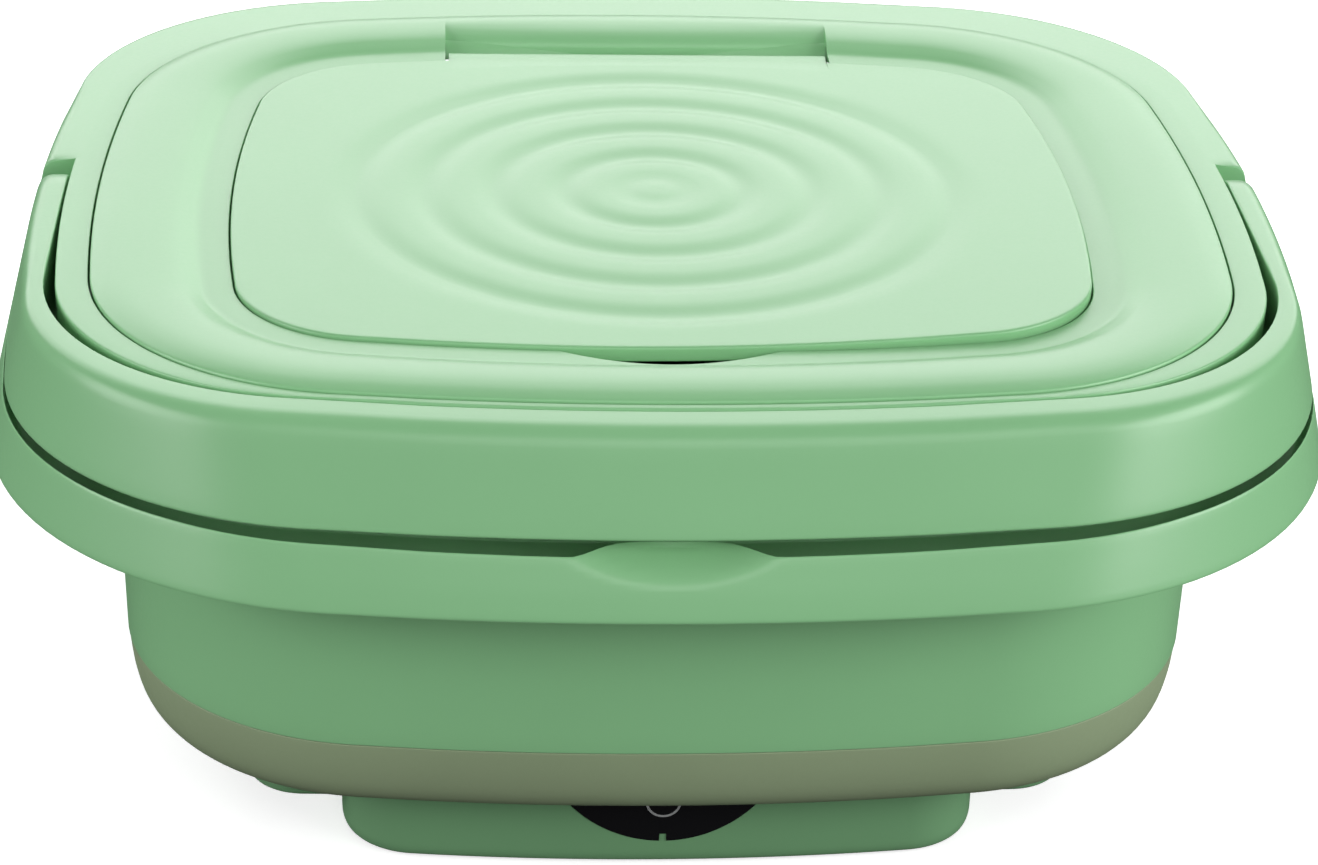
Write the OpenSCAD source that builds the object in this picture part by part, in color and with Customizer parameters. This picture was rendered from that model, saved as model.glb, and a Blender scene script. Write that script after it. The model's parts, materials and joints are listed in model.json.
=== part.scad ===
// Folding mini washer: a rigid base with a pulsator drive, a rigid collar with a lift-off lid,
// and a soft fold band that lets the collar drop down over the base.
// Millimetres. +Z up, front towards -Y. Origin: centre of the footprint, on the floor.

/* [Plan size] */
// Height of the lid seam above the floor when folded
seam_z = 140; // [138:1:142]
// Half-width of the seam between lid and collar
seam_a = 143; // [140:1:146]
// Half-depth of the seam between lid and collar
seam_b = 126.6; // [124:0.2:129]
// Corner radius of the seam
seam_r = 70; // [60:1:80]
// Radius of the long side bows
side_bow = 626; // [400:1:900]
// Radius of the front and rear bows
end_bow = 598; // [400:1:900]

/* [Collar] */
// Half-width at the collar's top outer edge
collar_top_a = 159; // [158:0.5:160]
// Half-depth at the collar's top edge in front
collar_top_f = 140; // [139:0.5:141]
// Half-depth at the collar's top edge at the rear
collar_top_b = 148; // [147:0.5:149]
// Corner radius at the collar's top edge
collar_top_r = 74; // [70:1:78]
// Half-width at the collar's bottom lip
lip_a = 169; // [168:0.5:172]
// Half-depth at the collar's bottom lip
lip_b = 154.5; // [153:0.5:156]
// Corner radius at the collar's bottom lip
lip_r = 98; // [94:1:102]
// Height of the lip's bottom edge
lip_z = 97; // [96:0.5:99]
// How much narrower than the seam the wall below the lip is, on either side
bowl_in = 5; // [4:0.5:6]
// Height of the ledge that the handle lies on
ledge_z = 113.5; // [112:0.5:114]

/* [Door] */
// Half-width of the flap door
door_a = 108.7; // [106:0.1:110]
// Half-depth of the flap door
door_b = 95.3; // [93:0.1:97]
// Height of one ripple on the door
ripple_h = 0.9; // [0.4:0.1:1.2]
// Radial distance from one ripple to the next
ripple_pitch = 18; // [16:0.5:20]

/* [Handle] */
// Distance of the handle's pivot behind the centre line
pivot_y = 5; // [3:0.5:7]
// Radius of the handle's pivot pins
pivot_r = 3; // [2:0.5:4]
// Radial running clearance of pins and shafts
run_gap = 0.05; // [0.02:0.01:0.1]

/* [Base] */
// Half-width of the pedestal block
block_a = 81.5; // [78:0.5:84]
// Distance of the block's front face from the centre
block_b = 106.6; // [105:0.1:107]
// Radius of the round touch panel
lens_r = 31; // [28:0.5:32]
// Height of the touch panel's centre
lens_z = 38.4; // [37:0.2:40]
// Height of the tub floor's underside
floor_z = 44; // [43:0.5:46]
// Height of the lower tub's rim
tub_top_z = 93; // [90:0.5:94]

/* [Drive] */
// Radius of the pulsator disc
pulsator_r = 70; // [60:1:78]
// Number of pulsator fins
fins = 4; // [3:1:6]
// Radius of the drive shaft
shaft_r = 4; // [3:0.5:5]
// Belt radius on the drive pulley
big_r = 30; // [26:1:32]
// Belt radius on the motor pulley
small_r = 7.5; // [6:0.5:9]
// Distance of the motor behind the drive shaft
motor_y = 60; // [54:1:64]

/* [Hidden] */
$fn = 64;
wall = 2.5;
gap = 0.3;
belt_t = 2.4;
belt_z = 11.7;
belt_h = 3.6;
floor_top = floor_z + 3;
pivot_z = seam_z - 13;
collar_top = seam_z - 2.5;
lid_low = seam_z - 7;
rim_a = 150.8;
rim_b = 128.8;
handle_a = 151.5;
handle_b = 129.9;
handle_end_r = 11.6;
notch_y = pivot_y + handle_end_r + 1;
pad_half = 62;
handle_top_a = 156.2;
handle_top_f = 135.2;
handle_top_b = 145;
handle_r = 64;
tub_r = 46;
base_r = 16;
door_r = 35;
door_side_bow = 480;
door_end_bow = 500;
block_rear = 96;
block_r = 20;
block_side_bow = 3000;
block_end_bow = 560;
hinge_y = 98;
hinge_z = seam_z - 5.4;
hinge_r = 3.2;
hinge_pin_r = 1.6;
recess_half = 54.6;
band_low = 26;
wall_low = 45;
wall_high = ledge_z - 1.3;
hub_r = 15;
bearing_r = 11;
drain_x = 45;
drain_y = 74;
drain_z = 17;
jack_x = -42;
jack_z = 11;
foot_x = 62;
foot_y = [-84, 78];
screw_x = 66;
screw_y = [-74, 66];

// ---- plan outlines: a bowed rectangle, every side and corner a circular arc ----

// Centre of the corner arc of radius r, tangent inside the side bow (rs) and the end bow (rt)
function corner_centre(a, b, r, rs, rt) =
    let (p = [a - rs, 0], q = [0, b - rt], u = q - p, d = norm(u))
    let (m = ((rs - r) ^ 2 - (rt - r) ^ 2 + d ^ 2) / (2 * d))
    let (h = sqrt((rs - r) ^ 2 - m ^ 2))
    p + u * m / d + [-u[1], u[0]] * h / d;

function arc(c, r, from, to, steps) =
    [for (i = [0 : steps]) let (t = from + (to - from) * i / steps) c + r * [cos(t), sin(t)]];

// One quarter, from (a, 0) to (0, b), both ends included
function quarter(a, b, r, rs, rt) =
    let (c = corner_centre(a, b, r, rs, rt))
    let (t1 = atan2(c[1], c[0] - a + rs), t2 = atan2(c[1] - b + rt, c[0]))
    concat(
        [for (i = [0 : 1]) [a - rs, 0] + rs * [cos(t1 * i / 2), sin(t1 * i / 2)]],
        arc(c, r, t1, t2, 7),
        [for (i = [1 : 2]) [0, b - rt] + rt * [cos(t2 + (90 - t2) * i / 2), sin(t2 + (90 - t2) * i / 2)]]);

function back_to_front(q) = [for (i = [len(q) - 1 : -1 : 1]) q[i]];
function all_but_last(q) = [for (i = [0 : len(q) - 2]) q[i]];

// Full outline, counter-clockwise from (a, 0): half-width a, half-depths bf (front) and br (rear)
function outline(a, bf, br, r, rs = 0, rt = 0) =
    let (s = rs > 0 ? rs : side_bow + a - seam_a)
    let (qr = quarter(a, br, r, s, rt > 0 ? rt : end_bow + br - seam_b))
    let (qf = quarter(a, bf, r, s, rt > 0 ? rt : end_bow + bf - seam_b))
    concat(
        all_but_last(qr),
        [for (p = back_to_front(qr)) [-p[0], p[1]]],
        [for (p = all_but_last(qf)) -p],
        [for (p = back_to_front(qf)) [p[0], -p[1]]]);

// The seam outline moved outwards by o
function seam(o) = outline(seam_a + o, seam_b + o, seam_b + o, seam_r + o);

// The wall below the lip and the fold: the seam outline moved outwards by o, narrower by dx
function bowl(o, dx = bowl_in) =
    outline(seam_a + o - dx, seam_b + o, seam_b + o, seam_r + o - dx / 2);

// The collar's sloping outer face at height z, moved inwards by d
function collar_at(z, d = 0) =
    let (t = (collar_top - z) / (collar_top - lip_z))
    outline(
        collar_top_a + (lip_a - collar_top_a) * t - d,
        collar_top_f + (lip_b - collar_top_f) * t - d,
        collar_top_b + (lip_b - collar_top_b) * t - d,
        collar_top_r + (lip_r - collar_top_r) * t - d);

// The rim's outer face, moved outwards by d
function rim(d = 0) = outline(rim_a + d, rim_b + d * 0.8, rim_b + d, seam_r - 2 * d);

// The lower tub's outer face, moved inwards by d
function tub(a, b, d = 0, r = tub_r) = outline(a - d, b - d, b - d, r - d);

function door_line(d = 0) =
    outline(door_a + d, door_b + d, door_b + d, door_r + d, door_side_bow, door_end_bow);

function block_line(d = 0) =
    outline(block_a + d, block_b + d, block_rear + d, block_r + d, block_side_bow, block_end_bow);

// ---- solids ----

// Skin over sections [outline, z]; a closed profile makes a ring, an open one gets flat ends
module loft(sections, ring = false) {
    n = len(sections[0][0]);
    m = len(sections);
    points = [for (s = sections) for (p = s[0]) [p[0], p[1], s[1]]];
    sides = [for (k = [0 : ring ? m - 1 : m - 2]) for (i = [0 : n - 1])
        let (a = k * n + i, b = k * n + (i + 1) % n)
        let (d = ((k + 1) % m) * n + i, c = ((k + 1) % m) * n + (i + 1) % n)
        each [[a, d, c], [a, c, b]]];
    ends = ring ? [] : [[for (i = [0 : n - 1]) i], [for (i = [n - 1 : -1 : 0]) (m - 1) * n + i]];
    polyhedron(points, concat(sides, ends), convexity = 8);
}

module along_x(y, z, r, x0, x1) {
    translate([x0, y, z]) rotate([0, 90, 0]) cylinder(r = r, h = x1 - x0);
}

module along_y(x, z, r, y0, y1) {
    translate([x, y0, z]) rotate([-90, 0, 0]) cylinder(r = r, h = y1 - y0);
}

module box(low, high) {
    translate(low) cube(high - low);
}

module tube(r_out, r_in, z0, z1) {
    translate([0, 0, z0]) difference() {
        cylinder(r = r_out, h = z1 - z0);
        translate([0, 0, -1]) cylinder(r = r_in, h = z1 - z0 + 2);
    }
}

// ---- base ----

module base_housing() {
    color("mediumseagreen") difference() {
        union() {
            loft([[tub(109.5, 96.5, r = base_r), 12], [tub(110.5, 97.5, r = base_r + 1), 13.5],
                [tub(112, 98, r = base_r + 4), 20], [tub(117.5, 98), floor_z - gap]]);
            loft([[block_line(-3), 1], [block_line(-1), 2], [block_line(), 4.5],
                [block_line(), 73], [block_line(-2), 76.5], [block_line(-5), 78]]);
        }
        loft([[tub(118.2, 98.8), floor_z - gap - 0.01], [tub(118.9, 99.5), 79]]);
        loft([[tub(107, 94, r = 30), 15.5], [tub(115, 95.5), floor_z]]);
        loft([[block_line(-3.5), -1], [block_line(-3.5), floor_z - 1]]);
        along_y(0, lens_z, lens_r + 0.25, -110, -block_b + 2.4);
        along_y(0, lens_z, lens_r - 3, -block_b + 2.3, -90);
        along_y(jack_x, jack_z, 4.2, 88, 100);
        along_y(drain_x, drain_z, 6.8, 88, 100);
    }
}

module bottom_cover() {
    color("seagreen") difference() {
        union() {
            loft([[block_line(-5), 1], [block_line(-3.8), 1.6], [block_line(-3.8), 3.2]]);
            for (x = [-38, 38]) {
                translate([x, -62, 3]) cylinder(r = 3, h = 5);
            }
        }
        for (x = [-screw_x, screw_x], y = screw_y) {
            translate([x, y, 0]) cylinder(r = 1.7, h = 5);
            translate([x, y, 0]) cylinder(r = 3.6, h = 2);
        }
        for (x = [-foot_x, foot_x], y = foot_y) {
            translate([x - 6 * sign(x), y, 0.5]) cylinder(r = 7.2, h = 1.2);
        }
        for (i = [-4 : 4]) {
            box([i * 6 - 1.2, 30, 0], [i * 6 + 1.2, 56, 5]);
        }
    }
}

module rubber_feet() {
    color("dimgray") for (x = [-foot_x, foot_x], y = foot_y) {
        translate([x - 6 * sign(x), y, 0]) cylinder(r = 7, h = 1.7);
    }
}

module cover_screws() {
    color("silver") for (x = [-screw_x, screw_x], y = screw_y) {
        translate([x, y, 0.6]) difference() {
            union() {
                cylinder(r = 2.9, h = 1.4);
                cylinder(r = 1.4, h = 12);
            }
            translate([-2, -0.4, -0.1]) cube([4, 0.8, 0.6]);
            translate([-0.4, -2, -0.1]) cube([0.8, 4, 0.6]);
        }
    }
}

module lower_tub() {
    color("mediumaquamarine") difference() {
        union() {
            loft([[tub(117.5, 98), floor_z], [tub(118.2, 98.8), 78], [tub(120.5, 103), 88],
                [tub(120.5, 103), tub_top_z], [tub(120.5, 103, wall), tub_top_z],
                [tub(120.5, 103, wall), 88.5], [tub(118.2, 98.8, wall), 78.5],
                [tub(117, 97, wall + 0.5), 56], [tub(115, 95, wall + 4), 49],
                [tub(112, 92, wall + 9), floor_top]]);
            translate([0, 0, 19]) cylinder(r = hub_r, h = floor_z - 18);
            for (x = [-screw_x, screw_x], y = screw_y) {
                translate([x, y, 3.5]) cylinder(r = 4.5, h = floor_z - 2.5);
            }
            for (x = [-24, 24]) {
                translate([x, motor_y, 19.8]) cylinder(r = 3.5, h = floor_z - 18.8);
            }
        }
        translate([0, 0, 18]) cylinder(r = bearing_r + 0.02, h = 40);
        for (x = [-screw_x, screw_x], y = screw_y) {
            translate([x, y, 3]) cylinder(r = 1.45, h = 12);
        }
        for (x = [-24, 24]) {
            translate([x, motor_y, 19]) cylinder(r = 1.25, h = 10);
        }
        translate([drain_x, drain_y, floor_z - 1]) cylinder(r = 6.55, h = 6);
    }
}

module panel_lens() {
    color("black") difference() {
        along_y(0, lens_z, lens_r, -block_b - 0.1, -block_b + 2.2);
        box([-0.9, -block_b - 1, lens_z - lens_r - 1], [0.9, -block_b + 3, lens_z - lens_r + 2.2]);
    }
}

module touch_board() {
    color("darkgreen") difference() {
        along_y(0, lens_z, lens_r - 4, -block_b + 2.5, -block_b + 3.9);
        for (x = [-19, 19]) {
            along_y(x, lens_z, 1.5, -block_b, -block_b + 6);
        }
    }
}

module main_board() {
    color("green") {
        box([-46, -86, 8.1], [46, -48, 9.7]);
        for (x = [-30, -16]) {
            translate([x, -70, 9.6]) cylinder(r = 5, h = 14);
        }
        box([2, -80, 9.6], [16, -66, 14]);
        box([24, -60, 9.6], [40, -52, 17]);
    }
}

module dc_socket() {
    color("black") difference() {
        union() {
            box([jack_x - 6, 78, 4.5], [jack_x + 6, 89.2, jack_z + 6.5]);
            along_y(jack_x, jack_z, 4, 88, 95.5);
        }
        difference() {
            along_y(jack_x, jack_z, 2.8, 84, 97);
            along_y(jack_x, jack_z, 0.8, 83, 94);
        }
    }
}

module motor() {
    color("silver") translate([0, motor_y, 0]) {
        translate([0, 0, 20.2]) cylinder(r = 17, h = floor_z - 20.8);
        translate([0, 0, 18.3]) cylinder(r = 4.9, h = 3);
    }
}

module motor_bracket() {
    color("lightgray") translate([0, motor_y, 0]) difference() {
        union() {
            translate([0, 0, 18.4]) cylinder(r = 15, h = 1.4);
            box([-29, -5, 18.4], [29, 5, 19.8]);
        }
        translate([0, 0, 15]) cylinder(r = 5, h = 8);
        for (x = [-24, 24]) {
            translate([x, 0, 15]) cylinder(r = 1.6, h = 8);
        }
    }
}

module bracket_screws() {
    color("silver") for (x = [-24, 24]) {
        translate([x, motor_y, 0]) {
            translate([0, 0, 16.8]) cylinder(r = 2.6, h = 1.6);
            translate([0, 0, 17.5]) cylinder(r = 1.2, h = 10);
        }
    }
}

module upper_bearing() {
    color("silver") tube(bearing_r, shaft_r + run_gap, 33.5, 40.5);
}

module lower_bearing() {
    color("silver") tube(bearing_r, shaft_r + run_gap, 19.5, 26.5);
}

module shaft_seal() {
    color("dimgray") tube(bearing_r, shaft_r + run_gap, 41, floor_top);
}

module drive_belt() {
    color("black") translate([0, 0, belt_z]) linear_extrude(belt_h) difference() {
        hull() {
            circle(r = big_r + 0.15 + belt_t, $fn = 48);
            translate([0, motor_y]) circle(r = small_r + 0.15 + belt_t, $fn = 32);
        }
        hull() {
            circle(r = big_r + 0.25, $fn = 48);
            translate([0, motor_y]) circle(r = small_r + 0.25, $fn = 32);
        }
    }
}

// Spool-shaped pulley: belt radius r, bore radius b
module pulley(r, b, flange) {
    rotate_extrude() polygon([
        [b, belt_z - 1.7], [r + flange, belt_z - 1.7], [r + flange, belt_z - 0.4], [r, belt_z - 0.2],
        [r, belt_z + belt_h + 0.2], [r + flange, belt_z + belt_h + 0.4], [r + flange, belt_z + belt_h + 1.7],
        [b, belt_z + belt_h + 1.7]]);
}

module motor_pulley() {
    color("dimgray") translate([0, motor_y, 0]) {
        pulley(small_r, 0, 2.5);
        translate([0, 0, belt_z + belt_h + 1.6]) cylinder(r = 1.2, h = 1.1);
    }
}

module drive_pulley() {
    color("gray") pulley(big_r, shaft_r + 0.01, 2.5);
}

module drive_shaft() {
    color("silver") difference() {
        translate([0, 0, 8.5]) cylinder(r = shaft_r, h = 47.5);
        translate([0, 0, 48]) cylinder(r = 1.55, h = 9);
    }
}

module pulsator() {
    color("ghostwhite") difference() {
        union() {
            translate([0, 0, floor_top + 2]) rotate_extrude() polygon([
                [0, 0], [pulsator_r - 2, 0], [pulsator_r, 1.5], [pulsator_r, 3], [pulsator_r - 3, 4.5],
                [30, 6], [18, 10], [0, 12]]);
            for (i = [0 : fins - 1]) {
                rotate([0, 0, 45 + i * 360 / fins]) intersection() {
                    box([14, -4, floor_top + 3], [pulsator_r - 3, 4, floor_top + 17]);
                    translate([40, 0, floor_top - 22]) rotate([90, 0, 0])
                        cylinder(r = 37, h = 20, center = true);
                }
            }
        }
        translate([0, 0, floor_top]) cylinder(r = shaft_r + 0.01, h = 9.2);
        translate([0, 0, floor_top]) cylinder(r = 1.7, h = 20);
        translate([0, 0, floor_top + 11]) cylinder(r = 5.2, h = 6);
    }
}

module pulsator_screw() {
    color("silver") {
        translate([0, 0, floor_top + 11.05]) cylinder(r = 3.4, h = 1.4);
        translate([0, 0, floor_top + 3]) cylinder(r = 1.5, h = 9);
    }
}

module pulsator_cap() {
    color("mediumseagreen") translate([0, 0, floor_top + 12.6]) rotate_extrude() polygon([
        [0, 0], [5, 0], [5, 0.6], [3.5, 1.8], [0, 2.3]]);
}

module drain_pipe() {
    color("white") difference() {
        union() {
            translate([drain_x, drain_y, drain_z]) cylinder(r = 6.4, h = floor_top - drain_z - 0.4);
            translate([drain_x, drain_y, drain_z]) sphere(r = 6.6);
            along_y(drain_x, drain_z, 6.5, drain_y, 108);
        }
        translate([drain_x, drain_y, drain_z]) cylinder(r = 4.4, h = 40);
        along_y(drain_x, drain_z, 4.4, drain_y, 112);
    }
}

module drain_cap() {
    color("dimgray") difference() {
        union() {
            along_y(drain_x, drain_z, 8.6, 99.5, 110);
            box([drain_x - 3, 99.5, drain_z - 13], [drain_x + 3, 102, drain_z - 6]);
        }
        along_y(drain_x, drain_z, 6.8, 98, 108.2);
    }
}

// ---- collar and fold ----

module upper_ring() {
    color("mediumseagreen") loft([
        [bowl(-0.5), wall_low], [bowl(0.4), lip_z - 3], [seam(0.6), lip_z + 3], [seam(0.9), wall_high],
        [seam(-1.6), wall_high], [seam(-1.9), lip_z + 3.5], [bowl(-2.1), lip_z - 2.5],
        [bowl(-3), wall_low]], ring = true);
}

// Outer leg hangs from the upper ring, rolls under, and the inner leg climbs to the tub's rim
module fold_band() {
    color("darkolivegreen") loft([
        [seam(-20.6), tub_top_z + 1], [seam(-20.4), 86], [bowl(-17, bowl_in * 0.4), 72],
        [bowl(-14.6, bowl_in * 0.7), 50], [bowl(-12), band_low + 1.5], [bowl(-9), band_low],
        [bowl(-6), band_low + 0.8], [bowl(-3), band_low + 4.5], [bowl(-1.4), band_low + 11],
        [bowl(-0.7), wall_low - 0.1], [bowl(-2.8), wall_low - 0.1], [bowl(-3.4), band_low + 11.5],
        [bowl(-5), band_low + 5.8], [bowl(-7.4), band_low + 2.6], [bowl(-8.6), band_low + 2.2],
        [bowl(-10.2), band_low + 3.6], [bowl(-12.6, bowl_in * 0.7), 50],
        [bowl(-15, bowl_in * 0.4), 72.5], [seam(-18.4), 86.5], [seam(-18.6), tub_top_z + 1]],
        ring = true);
}

module collar() {
    color("mediumseagreen") difference() {
        union() {
            loft([
                [collar_at(lip_z), lip_z], [collar_at(ledge_z), ledge_z], [rim(), ledge_z],
                [rim(), seam_z - 1.8], [rim(-0.8), seam_z - 0.8], [seam(0.4), seam_z - 0.8],
                [seam(0.4), lid_low - gap], [seam(-5), lid_low - gap], [seam(-5), lid_low - 3],
                [seam(-2.4), lid_low - 5], [seam(-2.4), ledge_z - 1], [seam(1.3), ledge_z - 1],
                [seam(1.3), lip_z + 1], [seam(3.8), lip_z + 1], [seam(3.8), ledge_z - 3],
                [collar_at(ledge_z - 3, 3), ledge_z - 3], [collar_at(lip_z, 3), lip_z]], ring = true);
            intersection() {
                loft([
                    [collar_at(ledge_z), ledge_z], [collar_at(135.5), 135.5], [collar_at(137, 1.2), 137],
                    [collar_at(138, 3.5), 138], [seam(1.2), 138.6], [seam(1.2), ledge_z]], ring = true);
                box([-200, notch_y, 100], [200, 200, 150]);
            }
            box([-30, -147, 104], [26, -134, ledge_z - 1.5]);
        }
        along_y(-2, ledge_z - 7.5 + 40.6, 40.6, -160, -143);
        for (s = [-1, 1]) {
            along_x(pivot_y, pivot_z, pivot_r + run_gap, min(s * 143.5, s * 153), max(s * 143.5, s * 153));
        }
    }
}

// Flat ring that closes the underside of the lip
module lip_underside() {
    color("mediumseagreen") loft([
        [seam(3.9), lip_z], [collar_at(lip_z, 3.1), lip_z],
        [collar_at(lip_z + 1.5, 3.1), lip_z + 1.5], [seam(3.9), lip_z + 1.5]], ring = true);
}

module handle() {
    color("mediumseagreen") difference() {
        intersection() {
            loft([
                [collar_at(115), 115], [collar_at(129), 129],
                [collar_at(134, 0.8), 134], [collar_at(137, 2.2), 137],
                [outline(handle_top_a, handle_top_f, handle_top_b, 70), 138.6],
                [outline(handle_top_a - 1.2, handle_top_f - 1, handle_top_b - 1, 69), 139],
                [outline(handle_a, handle_b, handle_b, handle_r), 139],
                [outline(handle_a, handle_b, handle_b, handle_r), 115]], ring = true);
            union() {
                box([-200, -200, 100], [200, pivot_y, 150]);
                along_x(pivot_y, pivot_z, handle_end_r, -200, 200);
            }
        }
        along_x(pivot_y, pivot_z, pivot_r + 0.01, -160, 160);
    }
}

module handle_pins() {
    color("silver") for (s = [-1, 1]) {
        along_x(pivot_y, pivot_z, pivot_r, min(s * 144, s * 159.8), max(s * 144, s * 159.8));
    }
}

// ---- lid ----

module lid_ring() {
    color("palegreen") difference() {
        union() {
            loft([
                [seam(-0.6), lid_low], [seam(-0.6), seam_z - 0.8], [seam(-1.6), seam_z],
                [seam(-8), seam_z + 1.6], [seam(-14), seam_z + 2], [seam(-19), seam_z + 0.6],
                [door_line(7.5), seam_z - 2.4], [door_line(0.8), seam_z - 2.5],
                [door_line(0.8), seam_z - 5.8], [door_line(-4.5), seam_z - 5.8],
                [door_line(-4.5), seam_z - 8.6], [door_line(5), seam_z - 8.6],
                [door_line(9), seam_z - 5], [seam(-19), seam_z - 2.2], [seam(-13.5), seam_z - 0.8],
                [seam(-7.5), seam_z - 1.4], [seam(-3.4), seam_z - 3.6], [seam(-3.4), lid_low]],
                ring = true);
            box([-pad_half, 93.4, seam_z - 11.5], [pad_half, 109, seam_z - 3]);
        }
        box([-recess_half, 86, seam_z - 9.1], [recess_half, 106, seam_z + 5]);
        along_x(hinge_y, hinge_z, hinge_pin_r + 0.01, -60, 60);
        translate([-1, -49, seam_z - 5]) cylinder(r = 52, h = 9);
    }
}

module door() {
    color("palegreen") difference() {
        union() {
            loft([[door_line(), seam_z - 5.4], [door_line(), seam_z - 2.8], [door_line(-0.7), seam_z - 2.1]]);
            for (r = [14 : ripple_pitch : 70]) {
                rotate_extrude() polygon([
                    [r - 6, seam_z - 2.4], [r - 2.5, seam_z - 2.1 + ripple_h],
                    [r + 2.5, seam_z - 2.1 + ripple_h], [r + 6, seam_z - 2.4]]);
            }
            box([-recess_half + 1, 84, seam_z - 5.2], [recess_half - 1, hinge_y, seam_z - 2.3]);
            along_x(hinge_y, hinge_z, hinge_r, -recess_half + 1, recess_half - 1);
        }
        along_x(hinge_y, hinge_z, hinge_pin_r + run_gap, -60, 60);
    }
}

module door_pin() {
    color("silver") along_x(hinge_y, hinge_z, hinge_pin_r, -59.5, 59.5);
}

base_housing();
bottom_cover();
rubber_feet();
cover_screws();
lower_tub();
panel_lens();
touch_board();
main_board();
dc_socket();
motor();
motor_bracket();
bracket_screws();
upper_bearing();
lower_bearing();
shaft_seal();
drive_belt();
drain_pipe();
drain_cap();
motor_pulley();
drive_pulley();
drive_shaft();
pulsator();
pulsator_screw();
pulsator_cap();
upper_ring();
fold_band();
collar();
lip_underside();
handle();
handle_pins();
lid_ring();
door();
door_pin();
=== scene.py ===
import json
import math

import bmesh
import bpy
import numpy as np
from mathutils import Matrix, Vector


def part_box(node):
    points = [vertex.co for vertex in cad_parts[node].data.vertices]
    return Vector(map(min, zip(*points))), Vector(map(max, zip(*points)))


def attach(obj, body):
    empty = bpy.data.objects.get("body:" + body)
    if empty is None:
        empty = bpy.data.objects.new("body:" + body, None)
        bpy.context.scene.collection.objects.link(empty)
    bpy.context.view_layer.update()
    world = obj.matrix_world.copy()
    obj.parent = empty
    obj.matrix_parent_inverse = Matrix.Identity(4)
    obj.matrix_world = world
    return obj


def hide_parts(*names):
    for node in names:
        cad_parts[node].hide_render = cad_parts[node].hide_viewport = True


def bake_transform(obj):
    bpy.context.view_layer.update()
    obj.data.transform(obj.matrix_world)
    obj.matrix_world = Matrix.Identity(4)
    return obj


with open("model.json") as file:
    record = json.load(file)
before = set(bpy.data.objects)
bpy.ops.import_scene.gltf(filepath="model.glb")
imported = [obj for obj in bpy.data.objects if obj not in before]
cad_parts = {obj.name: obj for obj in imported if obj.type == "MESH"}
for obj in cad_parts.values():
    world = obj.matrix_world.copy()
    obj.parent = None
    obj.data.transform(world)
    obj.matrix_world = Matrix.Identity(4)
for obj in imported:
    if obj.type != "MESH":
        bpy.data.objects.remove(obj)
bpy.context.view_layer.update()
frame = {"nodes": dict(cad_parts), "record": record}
MM = 0.001


def size(node):
    """Half-width, front reach, rear reach, lowest and highest z of a CAD node, in millimetres."""
    low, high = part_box(node)
    return high[0] / MM, -low[1] / MM, high[1] / MM, low[2] / MM, high[2] / MM


def centre(node):
    """x, y and z of the middle of a CAD node, in millimetres."""
    return [(low + high) / 2 / MM for low, high in zip(*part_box(node))]


# ---- dimensions in millimetres: first those of the frame, then those of the looks ----

LIP_A, LIP_B, _, LIP_Z, RIM_TOP = size("collar")
LID_A, LID_B, _, _, _ = size("lid_ring")
DOOR_A, DOOR_B, _, _, DOOR_TOP = size("door")
_, _, _, HANDLE_LOW, HANDLE_TOP = size("handle")
_, _, _, WALL_LOW, WALL_TOP = size("upper_ring")
_, _, _, BAND_LOW, BAND_TOP = size("fold_band")
_, TUB_B, _, _, TUB_TOP = size("lower_tub")
TUB_FLOOR = size("shaft_seal")[4] - 3
LENS_R, _, _, LENS_LOW, LENS_HIGH = size("panel_lens")
_, BLOCK_B, _, HOUSING_LOW, BLOCK_TOP = size("base_housing")
_, PIN_Y, PIN_Z = centre("handle_pins")
_, HINGE_Y, HINGE_Z = centre("door_pin")
JACK_X, _, JACK_Z = centre("dc_socket")
DRAIN_X, _, DRAIN_Z = centre("drain_pipe")

SEAM_Z = RIM_TOP + 0.8
SEAM_A = LID_A + 0.6
SEAM_B = LID_B + 0.6
SEAM_R = 70
SIDE_BOW = 626
END_BOW = 598
COLLAR_TOP = SEAM_Z - 2.5
LEDGE_Z = HANDLE_LOW - 1.5
NOTCH_Y = PIN_Y + 12.6
RECESS = 54.6
RECESS_Y = HINGE_Y + 8
LENS_Z = (LENS_LOW + LENS_HIGH) / 2

# The pedestal block's half-width, rear reach and the bow of its front, then the bowl's closer sides.
BLOCK_A = 81.5
BLOCK_REAR = 96
BLOCK_BOW = 560
BOWL_IN = 5

# The collar's sloping outer face at its top edge, and its corner radius there and at the lip.
COLLAR_A = 159
COLLAR_FRONT = 140
COLLAR_REAR = 148
COLLAR_R = 74
LIP_R = 98

# Holes in the back of the base, cut from DRILL_Y outwards.
DRAIN_HOLE_R = 6.8
JACK_HOLE_R = 4.2
DRILL_Y = 88


def lerp(a, b, t):
    """The value t of the way from a to b."""
    return a + (b - a) * t


def smoothstep(a, b, x):
    """0 below a and 1 above b, with a smooth rise between."""
    t = np.clip((x - a) / (b - a), 0, 1)
    return t * t * (3 - 2 * t)


# ---- plan outlines ----

# Fixed stations along the sides (y) and the ends (x), so that every outline lines up with the others.
# Where a value stands twice, the profile changes from one kind to the other between the two.
WEB = RECESS - 1
SIDE_Y = [0, 5, 10, 14, NOTCH_Y - 0.6, NOTCH_Y, NOTCH_Y, NOTCH_Y + 0.6, 22, 28, 35, 42, 49]
END_X = [59, RECESS + 0.6, RECESS, RECESS, RECESS - 0.5, WEB, WEB, WEB - 0.6]
END_X += [50, 46, 42, 38, 35, 32, 29, 27, 25, 23, 21, 19, 17, 15, 13, 11, 9, 7, 5, 3, 1.5, 0]
CORNER_STEPS = 26


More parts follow.
